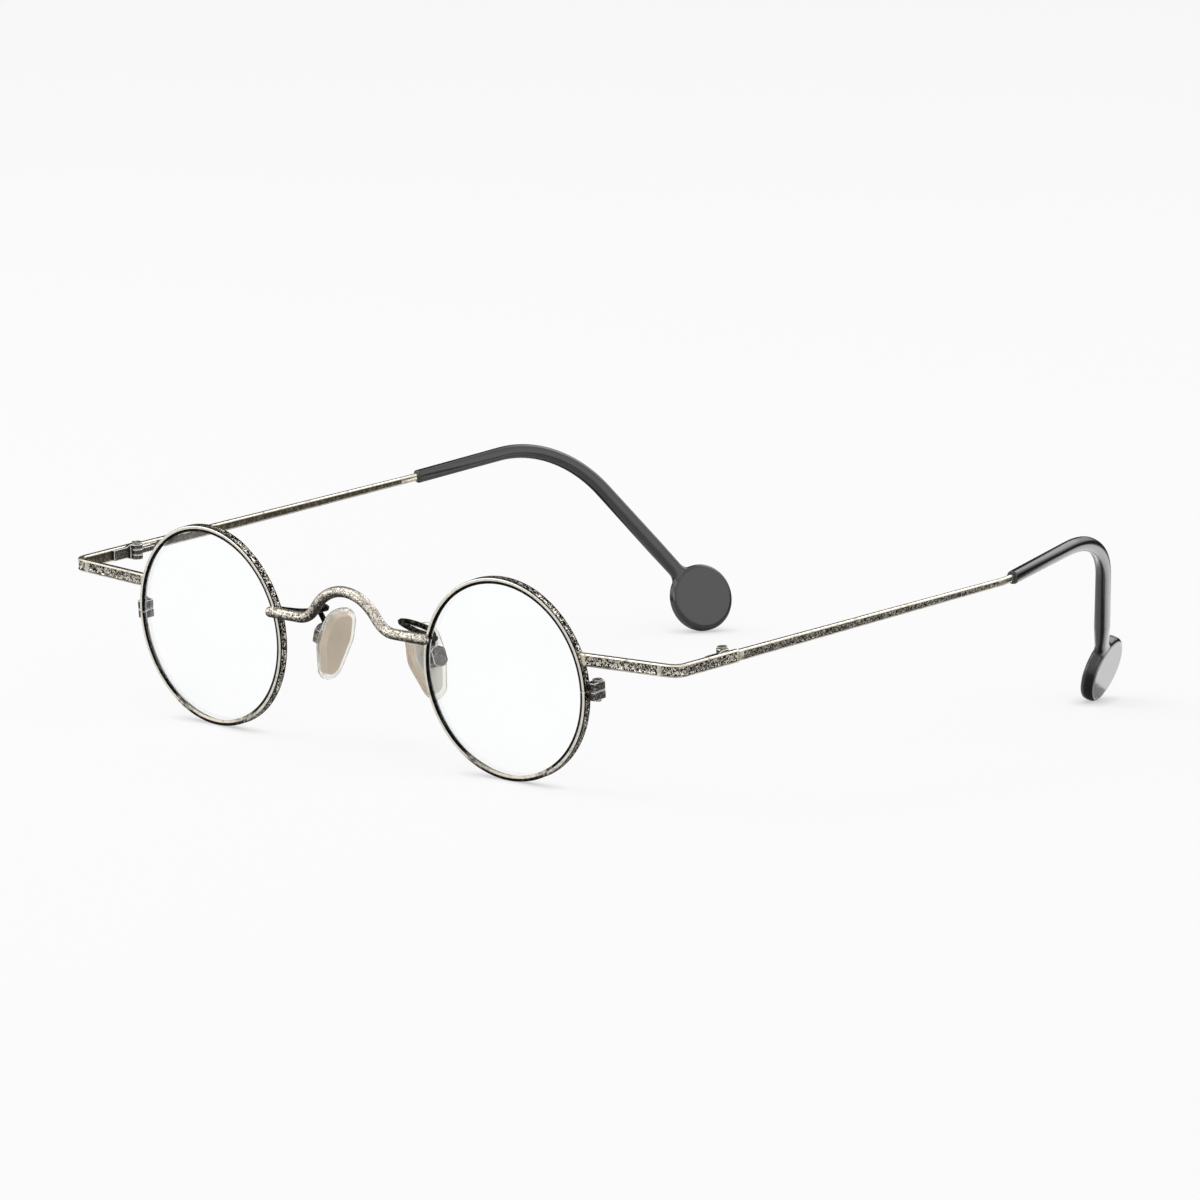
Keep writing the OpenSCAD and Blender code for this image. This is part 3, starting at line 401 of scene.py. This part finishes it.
def makeRims():
    r, s, d = rimRadius, sightRadius, front["rimDepth"] / 2
    inner, lip, floor = s - rimWire["overLens"], s + rimWire["frontStep"], rimWire["stepDepth"] - d
    band = d - rimWire["bandMargin"]
    low = r - rimWire["bandDepth"]
    mouth = rimWire["grooveMouth"] / 2
    # radius, depth behind the middle, and metal of the side that follows: 0 bright, 1 dark, 2 engraved,
    # 3 stained, 4 lip, 5 step
    # the lip is darkened at the rim's bottom as painted shade, and the step is black as painted shade and grey at
    # the bottom as a painted highlight
    profile = [(inner, floor + 0.1, 5), (inner, floor + 0.04, 5), (inner + 0.04, floor, 5), (lip - 0.04, floor, 5),
               (lip, -d + 0.02, 4), (lip + 0.04, -d, 4),
               (r - 0.14, -d + 0.01, 4), (r - 0.08, -d + 0.04, 1), (r - 0.02, -d + 0.13, 1),
               (r, -band - 0.03, 1), (low, -band + 0.03, 2), (low, band - 0.03, 1), (r, band + 0.03, 0),
               (r - 0.02, d - 0.14, 0), (r - 0.14, d - 0.02, 3), (s + 0.2, d, 3), (s + 0.06, d - 0.06, 1),
               (s, d - 0.2, 1), (s, mouth, 1), (s + rimWire["groove"], 0, 1), (s, -mouth, 1),
               (s, floor + 0.1, 1)]
    bm = bmesh.new()
    ring = bm.verts.layers.int.new("ring")
    gap = asin(rimWire["split"] / 2 / r)
    corners = [bm.verts.new((x, y, 0)) for x, y, mark in profile]
    for number, corner in enumerate(corners):
        corner[ring] = number
    face = bm.faces.new(corners)
    bmesh.ops.rotate(bm, cent=(0, 0, 0), matrix=Matrix.Rotation(-gap, 3, "Y"), verts=bm.verts)
    bmesh.ops.spin(bm, geom=[face, *face.edges, *face.verts], cent=(0, 0, 0), axis=(0, -1, 0),
                   angle=2 * pi - 2 * gap, steps=rimWire["steps"], use_merge=False)
    paint(bm, [mark for x, y, mark in profile])
    bmesh.ops.transform(bm, matrix=rimFrame, verts=bm.verts)
    bothSides("rim_wire", bm, "front", ["rim"], rimMetals, 60)


makeRims()
print("rims made")

# Bridge: one round wire in an arch, with domed ends soldered to the rims' faces
bridgeWire = {"diameter": 1.9, "height": 5.1, "rise": 5.85, "crest": 8.5, "foot": 4.5, "slope": 50, "lap": 0.9,
              "flat": 0.2, "sides": 24}


def makeBridge():
    b = bridgeWire
    slope, radius = radians(b["slope"]), b["diameter"] / 2
    slant = (b["rise"] - (b["crest"] + b["foot"]) * (1 - cos(slope))) / sin(slope)
    footX = (b["crest"] + b["foot"]) * sin(slope) + slant * cos(slope)
    crestZ = b["height"] + b["rise"] - b["crest"]
    rimEdge = front["rimSpacing"] / 2 - sqrt(rimRadius ** 2 - b["height"] ** 2)
    endX = rimEdge + b["lap"] - b["diameter"] / 4
    wrap = radians(front["wrap"])
    rimFace = (rimEdge - front["rimSpacing"] / 2) * tan(wrap) - front["rimDepth"] / 2 / cos(wrap)
    wireY = rimFace - radius + b["flat"]
    half = []  # X, Z, climb and size, from the end to the crest
    for k in range(6):
        a = pi / 2 * (k + 0.35) / 6.35
        half.append((-endX - radius * cos(a), b["height"], 0, sin(a)))
    half += [(-endX, b["height"], 0, 1), (-(endX + footX) / 2, b["height"], 0, 1)]
    half += [(-footX + b["foot"] * sin(slope * k / 10), b["height"] + b["foot"] * (1 - cos(slope * k / 10)),
              slope * k / 10, 1) for k in range(11)]
    half += [(-b["crest"] * sin(slope * (1 - k / 12)), crestZ + b["crest"] * cos(slope * (1 - k / 12)),
              slope * (1 - k / 12), 1) for k in range(13)]
    path = half + [(-x, z, -climb, size) for x, z, climb, size in half[-2::-1]]
    places = [axesAt((x, wireY, z), (0, 1, 0), (cos(c), 0, sin(c)), (sin(c), 0, -cos(c)))
              @ Matrix.Diagonal((size, 1, size, 1)) for x, z, c, size in path]
    bm = bmesh.new()
    sweep(bm, [roundSection(radius, b["sides"])] * len(places), places)
    bmesh.ops.transform(bm, matrix=frontFrame, verts=bm.verts)
    piece("bridge_wire", bm, "front", ["bridge"], [bridgeSilver], 60)


makeBridge()
print("bridge made")

# Flat bars: rolled strip with bright edges and engraved panels sunk between them on the outside
strip = {"edge": 0.3, "rail": 0.3, "panelDepth": 0.08, "endMargin": 0.8, "splitMargin": 0.6, "tipMargin": 1.2,
         "gapAt": 1.3, "gap": 0.8, "ramp": 0.1, "root": 0.4, "splitGap": 0.06, "coreLength": 2}


def barSection(thick, height, panelDepth):
    t, h, e = thick / 2, height / 2, strip["edge"]
    rail, low = h - strip["rail"], t - panelDepth
    return [(-t, -h + e), (-t + e * 0.3, -h + e * 0.3), (-t + e, -h), (t - e, -h), (t - e * 0.3, -h + e * 0.3),
            (t, -h + e), (t, -rail), (low, -rail + 0.08), (low, rail - 0.08), (t, rail), (t, h - e),
            (t - e * 0.3, h - e * 0.3), (t - e, h), (-t + e, h), (-t + e * 0.3, h - e * 0.3), (-t, h - e)]


# metal of each side of that section: 0 edge, 1 dark, 2 engraved, 3 stained
barMarks = [0, 0, 0, 0, 0, 0, 1, 2, 1, 0, 0, 0, 0, 0, 0, 3]


def makeEndPieces():
    sweepAngle, r, ramp = radians(bars["sweep"]), bars["cornerRadius"], strip["ramp"]
    places, sunk = [], []  # sunk is 1 where the panel is at its full depth
    gap, half = cornerX - strip["gapAt"], strip["gap"] / 2
    for x, deep in ((-strip["root"], 0), (strip["endMargin"], 0), (strip["endMargin"] + ramp, 1),
                    (gap - half - ramp, 1), (gap - half, 0), (gap + half, 0), (gap + half + ramp, 1),
                    (cornerX, 1)):
        a = sweepAngle
        places.append(axesAt((x, x * tan(a), 0), (sin(a), -cos(a), 0), (cos(a), sin(a), 0), (0, 0, 1)))
        sunk.append(deep)
    for k in range(1, 11):
        a = sweepAngle + (pi / 2 - sweepAngle) * k / 10
        x = cornerX + r * (sin(a) - sin(sweepAngle))
        y = cornerY + r * (cos(sweepAngle) - cos(a))
        places.append(axesAt((x, y, 0), (sin(a), -cos(a), 0), (cos(a), sin(a), 0), (0, 0, 1)))
        sunk.append(1)
    for y, deep in ((splitY - bars["returnLength"] / 2, 1), (splitY - strip["splitMargin"] - ramp, 1),
                    (splitY - strip["splitMargin"], 0), (splitY, 0)):
        places.append(move(barX, y, 0))
        sunk.append(deep)
    bm = bmesh.new()
    sections = [barSection(bars["thick"], bars["stripHeight"], strip["panelDepth"] * deep) for deep in sunk]
    sweep(bm, sections, places)
    paint(bm, barMarks, [k for k in range(1, len(sunk)) if not sunk[k] and not sunk[k - 1]])
    bmesh.ops.transform(bm, matrix=endFrame, verts=bm.verts)
    bothSides("end_piece_strip", bm, "front", ["end_piece"], endMetals, 50)


makeEndPieces()


def makeTemples():
    kink = bars["kink"]
    whole = bars["length"] - kink
    near, far, ramp = strip["tipMargin"], whole - strip["tipMargin"], strip["ramp"]
    stops = [(strip["splitGap"], 0), (near, 0), (near + ramp, 1)]
    stops += [(near + (far - near) * k / 8, 1) for k in range(1, 8)]
    stops += [(far - ramp, 1), (far, 0), (whole, 0)]
    places, sections = [], []
    for y, deep in stops:
        share = y / whole
        places.append(splitFrame @ move(0, y, 0))
        sections.append(barSection(bars["thick"] + (bars["endThick"] - bars["thick"]) * share,
                                   bars["barHeight"] + (bars["endHeight"] - bars["barHeight"]) * share,
                                   strip["panelDepth"] * deep))
    places += [mouthFrame @ move(0, y, 0) for y in (kink, kink + strip["coreLength"])]
    sections += [sections[-1]] * 2
    bm = bmesh.new()
    sweep(bm, sections, places)
    paint(bm, barMarks, [1, len(stops) - 1, len(stops), len(stops) + 1])
    bothSides("temple_bar", bm, "*_temple", ["temple"], barMetals, 50)


makeTemples()
print("bars made")

# Temple tips: moulded round the bar, bent behind the ear and ended in a flat round disc
tipMould = {"sides": 24, "discSides": 96, "square": 0.75, "skin": 0.15, "smoothing": 6, "thinner": 0.3,
            "thinLength": 5}


def makeTips():
    r, straight = tips["bendRadius"], tips["straight"]
    bendLength = r * bend
    whole = straight + bendLength + dropLength
    fillet, discR, halfNeck = tips["fillet"], tips["disc"] / 2, tips["neck"][1] / 2
    neck = sqrt((discR + fillet) ** 2 - (halfNeck + fillet) ** 2)
    touch = neck * discR / (discR + fillet)

    def station(s):
        a = max(0, min(bend, (s - straight) / r))
        if s <= straight:
            point, twist = Vector((0, s, 0)), -tips["roll"] * (straight - s) / (straight - bars["kink"])
        else:
            point = Vector((0, straight + r * sin(a), r * (cos(a) - 1)))
            twist = 0
        if s > straight + bendLength:
            point = bendEnd + dropWay * (s - straight - bendLength)
            twist = -tips["discTurn"] * (s - straight - bendLength) / dropLength
        share = min(1, (s - bars["kink"]) / (whole - neck - bars["kink"]))
        wide = tips["mouth"][0] + (tips["neck"][0] - tips["mouth"][0]) * share
        high = tips["mouth"][1] + (tips["neck"][1] - tips["mouth"][1]) * share
        # the neck thins out before the disc, so that the disc's faces stay flat
        thinning = max(0, min(1, (s - whole + neck) / tipMould["thinLength"] + 1))
        wide += (tips["discThick"] - tipMould["thinner"] - wide) * thinning
        if s > whole - neck:
            high = tips["neck"][1] + 2 * fillet - 2 * sqrt(fillet ** 2 - (neck - max(whole - s, touch)) ** 2)
        turned = Matrix.Rotation(-a, 4, "X") @ turn(twist, "Y")
        return Matrix.Translation(point) @ turned @ Matrix.Diagonal((wide / 2, 1, high / 2, 1))

    stops = [bars["kink"] + (straight - bars["kink"]) * k / 10 for k in range(10)]
    stops += [straight + bendLength * k / 24 for k in range(24)]
    stops += [straight + bendLength + (dropLength - neck) * k / 8 for k in range(8)]
    stops += [whole - neck + (neck - touch) * k / 10 for k in range(11)] + [whole - discR / 2]
    square = tipMould["square"]
    section = [(abs(x) ** square * (1 if x > 0 else -1), abs(z) ** square * (1 if z > 0 else -1))
               for x, z in roundSection(1, tipMould["sides"])]
    bm = bmesh.new()
    sweep(bm, [section] * len(stops), [tipFrame @ station(s) for s in stops])
    sides = tipMould["discSides"]
    disc = bmesh.ops.create_cone(bm, cap_ends=True, segments=sides, radius1=discR, radius2=discR,
                                 depth=tips["discThick"], matrix=discFrame @ turn(90, "Y"))["verts"]
    rims = {e for v in disc for e in v.link_edges if any(len(f.verts) == sides for f in e.link_faces)}
    bmesh.ops.bevel(bm, geom=list(rims), offset=tips["discEdge"], segments=5, affect="EDGES", profile=0.5,
                    material=-1)
    made = bothSides("temple_tip", bm, "*_temple", ["tip"], [tipAcetate], 50)
    for tip in made:
        skin = tip.modifiers.new("skin", "REMESH")
        skin.mode, skin.voxel_size, skin.use_smooth_shade = "VOXEL", tipMould["skin"] * mm, True
        ease = tip.modifiers.new("ease", "SMOOTH")
        ease.iterations = tipMould["smoothing"]


makeTips()
print("tips made")

# Nose pads: a clear soft cushion round a beige plate
# edgeRows are heights above the middle and insets of the cushion's rings, up to its flat face
padMould = {"points": 72, "coreEdge": 0.12, "lug": (2.2, 1.3, 1.7), "lugAt": 1.15, "eyeRadius": 0.85,
            "eyeWidth": 1.3, "eyeAt": 2.28,
            "edgeRows": [(0.0, 0.0), (0.3, 0.03), (0.6, 0.14), (0.85, 0.36), (1.0, 0.7), (1.08, 1.2), (1.1, 2.0)]}


def padOutline(inset):
    # the outermost of four circles in each direction: broad at the top, narrow at the bottom
    length, width = pads["length"], pads["width"]
    top, low = width * 0.38, width * 0.33
    circles = [(-width * 0.06, length / 2 - top, top), (width * 0.09, length * 0.49 - top, top),
               (0, length * 0.06, width / 2), (0, low - length / 2, low)]
    points = []
    for k in range(padMould["points"]):
        y, z = cos(2 * pi * k / padMould["points"]), sin(2 * pi * k / padMould["points"])
        circle = max(circles, key=lambda c: c[0] * y + c[1] * z + c[2])
        points.append((circle[0] + (circle[2] - inset) * y, circle[1] + (circle[2] - inset) * z - pads["drop"]))
    return points


def padRings(bm, rows):
    # rings of the outline from one side of the pad to the other, each at a height and an inset
    count = padMould["points"]
    loops = []
    for height, inset in rows:
        ring = bmesh.ops.create_circle(bm, segments=count, radius=1)["verts"]
        for vert, (y, z) in zip(ring, padOutline(inset)):
            vert.co = (height, y, z)
        pairs = [(ring[k], ring[(k + 1) % count]) for k in range(count)]
        loops.append([bm.edges.get(pair) or bm.edges.new(pair) for pair in pairs])
    for one, two in zip(loops, loops[1:]):
        bmesh.ops.bridge_loops(bm, edges=one + two)
    for loop in (loops[0], loops[-1]):
        bmesh.ops.contextual_create(bm, geom=loop)


def makePads():
    bm = bmesh.new()
    rows = [(-h, i) for h, i in padMould["edgeRows"][:0:-1]] + padMould["edgeRows"]
    padRings(bm, rows)
    bmesh.ops.transform(bm, matrix=padFrame, verts=bm.verts)
    for cushion in bothSides("pad_cushion", bm, "*_pad", ["nose_pad"], [padSilicone], 60):
        cushion.visible_shadow = False
    bm = bmesh.new()
    half, edge, margin = pads["core"] / 2, padMould["coreEdge"], pads["margin"]
    padRings(bm, [(-half, margin + edge), (-half + edge, margin), (half - edge, margin), (half, margin + edge)])
    for face in bm.faces:
        face.material_index = 1 if face.calc_center_median().x > half - edge else 0
    lug = bmesh.ops.create_cube(bm, size=1)["verts"]
    bmesh.ops.scale(bm, vec=padMould["lug"], verts=lug)
    bmesh.ops.translate(bm, vec=(padMould["lugAt"], 0, 0), verts=lug)
    eyeRadius = padMould["eyeRadius"]
    bmesh.ops.create_cone(bm, cap_ends=True, segments=32, radius1=eyeRadius, radius2=eyeRadius,
                          depth=padMould["eyeWidth"], matrix=move(padMould["eyeAt"], 0, 0) @ turn(90, "X"))
    bmesh.ops.transform(bm, matrix=padFrame, verts=bm.verts)
    bothSides("pad_plate", bm, "*_pad", ["pad_core"], [padCore, padBack], 40)


makePads()
print("pads made")

# Solids that keep their shape and get their finish
finishes = {"lens": lensResin, "rim_lock": fittingMetal, "hinge_front": fittingMetal,
            "hinge_temple": fittingMetal, "pad_arm": wireSilver, "pad_box": fittingMetal, "rim_screw": screwSteel,
            "hinge_screw": screwSteel, "pad_screw": screwSteel}
for name, node in nodes.items():
    for stem, material in finishes.items():
        if name.startswith(stem):
            node.data.materials.clear()
            node.data.materials.append(material)
    if name.startswith("lens"):
        node.visible_shadow = False
print("solids finished")

# Floor, light and camera. The flags and cards only show in reflections, as they would stand outside the picture.
# glow is the share of the floor's seen tone that is even white, and the rest takes the shadows. contact is the tone
# of a painted contact shadow where the object touches it, through what a lens adds to it, and mirrored its colour in
# reflections.
studio = {"paper": "FAFAFA", "glow": 0.72, "glowStrength": 1.075, "contact": 0.7, "contactReach": 0.0035,
          "through": 0.06, "ambient": 0.65, "mirrored": "E6E6E6", "flagGlow": 0.03}
# name, power in watts, size and place in metres
lamps = [("key", 2.4, 0.7, (-0.55, -0.35, 0.85)), ("fill", 0.8, 0.9, (0.8, -0.5, 0.5)),
         ("back", 0.8, 0.8, (0.1, 0.9, 0.7))]
# direction from the object, distance, width and height in metres, and a card's strength
flags = [((-0.66, 0.46, 0.3), 0.9, 0.9, 1.1), ((0.1, 1, 0.06), 1.1, 2.2, 0.34), ((0.9, 0.7, 0.02), 1.0, 0.9, 0.2),
         ((0.55, 0.83, 0.0), 0.2, 0.36, 0.05)]
cards = [((0.9, 0.2, 0.37), 0.9, 0.75, 0.6, 1.4), ((-0.1, 0.75, 0.66), 1.0, 0.9, 0.35, 3.0),
         ((-0.66, -0.74, 0.1), 1.0, 0.8, 0.44, 2.6)]
# sheets on the floor that only show in reflections, though they lie inside the picture: a white one behind the left
# tip, a painted highlight on it, and black ones beside the tips, painted dark reflections on them: place, width,
# length and strength
floorSheets = [((0.058, 0.175, 0.0004), 0.075, 0.075, 2.3), ((-0.1, 0.105, 0.0004), 0.055, 0.08, 0.1),
               ((0.0515, 0.125, 0.0004), 0.012, 0.04, 0.1)]


def reflected(name, place, facing, width, height, strength):
    # a flat sheet that only shows in the object's reflections
    bpy.ops.mesh.primitive_plane_add(size=1)
    sheet = bpy.context.object
    sheet.name = name
    turned = Vector(facing).to_track_quat("Z", "Y").to_matrix().to_4x4()
    sheet.data.transform(Matrix.Translation(place) @ turned @ Matrix.Diagonal((width, height, 1, 1)))
    sheet.visible_camera = sheet.visible_diffuse = sheet.visible_shadow = False
    sheet.visible_transmission = sheet.visible_volume_scatter = False
    material = bpy.data.materials.new(name + "_sheet")
    material.use_nodes = True
    tree = material.node_tree
    tree.nodes.clear()
    glow = addNode(tree, "ShaderNodeEmission", {"Strength": strength}).outputs[0]
    addNode(tree, "ShaderNodeOutputMaterial", {"Surface": glow})
    sheet.data.materials.append(material)


def standing(name, way, distance, width, height, strength):
    # the same, upright in a direction from the object and turned to it
    way = Vector(way).normalized()
    reflected(name, Vector((0, 0.05, 0.02)) + way * distance, -way, width, height, strength)


def makeStudio():
    bpy.ops.mesh.primitive_plane_add(size=12, location=(0, 0, -0.00002))
    floor = bpy.context.object
    floor.name = "paper_floor"
    paper = bpy.data.materials.new("white_paper")
    paper.use_nodes = True
    tree = paper.node_tree
    tree.nodes.clear()
    path = addNode(tree, "ShaderNodeLightPath").outputs
    seen = addNode(tree, "ShaderNodeMath", {0: path["Is Camera Ray"], 1: path["Is Transmission Ray"]},
                   operation="MAXIMUM").outputs[0]
    share = addNode(tree, "ShaderNodeMath", {0: seen, 1: studio["glow"]}, operation="MULTIPLY").outputs[0]
    mirrored = addNode(tree, "ShaderNodeMath", {0: path["Is Glossy Ray"], 1: path["Is Transmission Ray"]},
                       operation="SUBTRACT", use_clamp=True).outputs[0]
    tone = addNode(tree, "ShaderNodeMix", {"Factor": mirrored, 6: hexColour(studio["paper"]),
                                           7: hexColour(studio["mirrored"])}, data_type="RGBA").outputs[2]
    sheet = addNode(tree, "ShaderNodeBsdfDiffuse", {"Color": tone}).outputs[0]
    lift = addNode(tree, "ShaderNodeMath", {0: path["Is Transmission Ray"], 1: studio["through"],
                                            2: studio["glowStrength"]}, operation="MULTIPLY_ADD").outputs[0]
    # painted contact shadow: the floor's even white is darkened where the object is near it
    clear = addNode(tree, "ShaderNodeAmbientOcclusion", {"Distance": studio["contactReach"]}, samples=12)
    contact = addNode(tree, "ShaderNodeMapRange", {"Value": clear.outputs["AO"], "From Min": 0.35,
                                                   "To Min": studio["contact"]})
    lift = addNode(tree, "ShaderNodeMath", {0: lift, 1: contact.outputs[0]}, operation="MULTIPLY").outputs[0]
    glow = addNode(tree, "ShaderNodeEmission", {"Color": hexColour(studio["paper"]), "Strength": lift}).outputs[0]
    both = addNode(tree, "ShaderNodeMixShader", {0: share, 1: sheet, 2: glow}).outputs[0]
    addNode(tree, "ShaderNodeOutputMaterial", {"Surface": both})
    floor.data.materials.append(paper)

    world = bpy.data.worlds.new("white_tent")
    bpy.context.scene.world = world
    world.use_nodes = True
    tree = world.node_tree
    tree.nodes.clear()
    path = addNode(tree, "ShaderNodeLightPath").outputs
    seen = addNode(tree, "ShaderNodeMath", {0: path["Is Camera Ray"], 1: path["Is Glossy Ray"]},
                   operation="MAXIMUM").outputs[0]
    seen = addNode(tree, "ShaderNodeMath", {0: seen, 1: path["Is Transmission Ray"]}, operation="MAXIMUM").outputs[0]
    soft = addNode(tree, "ShaderNodeBackground", {"Color": (1, 1, 1, 1), "Strength": studio["ambient"]})
    white = addNode(tree, "ShaderNodeBackground", {"Color": hexColour(studio["paper"]), "Strength": 1.0})
    both = addNode(tree, "ShaderNodeMixShader", {0: seen, 1: soft.outputs[0], 2: white.outputs[0]})
    addNode(tree, "ShaderNodeOutputWorld", {"Surface": both.outputs[0]})

    for number, flag in enumerate(flags):
        standing(f"black_flag_{number}", *flag, studio["flagGlow"])
    for number, card in enumerate(cards):
        standing(f"white_card_{number}", *card)
    for number, (place, width, length, strength) in enumerate(floorSheets):
        reflected(f"floor_sheet_{number}", place, (0, 0, 1), width, length, strength)

    for name, power, size, place in lamps:
        lamp = bpy.data.objects.new(name, bpy.data.lights.new(name, "AREA"))
        lamp.data.energy, lamp.data.size = power, size
        lamp.location = place
        lamp.rotation_mode = "QUATERNION"
        lamp.rotation_quaternion = (Vector((0, 0.06, 0.02)) - lamp.location).to_track_quat("-Z", "Y")
        bpy.context.scene.collection.objects.link(lamp)


makeStudio()

# Camera angle, as it was fitted to the photograph: azimuth and elevation in degrees, distances in millimetres
eye = {"azimuth": 42.08, "elevation": 9.44, "roll": 1.6, "distance": 2024, "focal": 360.56, "right": 41.69,
       "up": 25.94, "back": -0.85}


def makeCamera():
    a, e, t = radians(eye["azimuth"]), radians(eye["elevation"]), radians(eye["roll"])
    back = Vector((sin(a) * cos(e), -cos(a) * cos(e), sin(e)))
    right = Vector((cos(a), sin(a), 0))
    up = back.cross(right)
    right, up = right * cos(t) + up * sin(t), up * cos(t) - right * sin(t)
    place = right * eye["right"] + up * eye["up"] + back * eye["distance"] + Vector((0, eye["back"], 0))
    data = bpy.data.cameras.new("camera")
    data.sensor_width, data.lens = 36, eye["focal"]
    data.clip_start, data.clip_end = 0.1, 50
    camera = bpy.data.objects.new("camera", data)
    camera.matrix_world = axesAt(place * mm, right, up, back)
    bpy.context.scene.collection.objects.link(camera)
    bpy.context.scene.camera = camera


makeCamera()
bpy.context.scene.view_settings.view_transform = "Standard"
print("studio made")
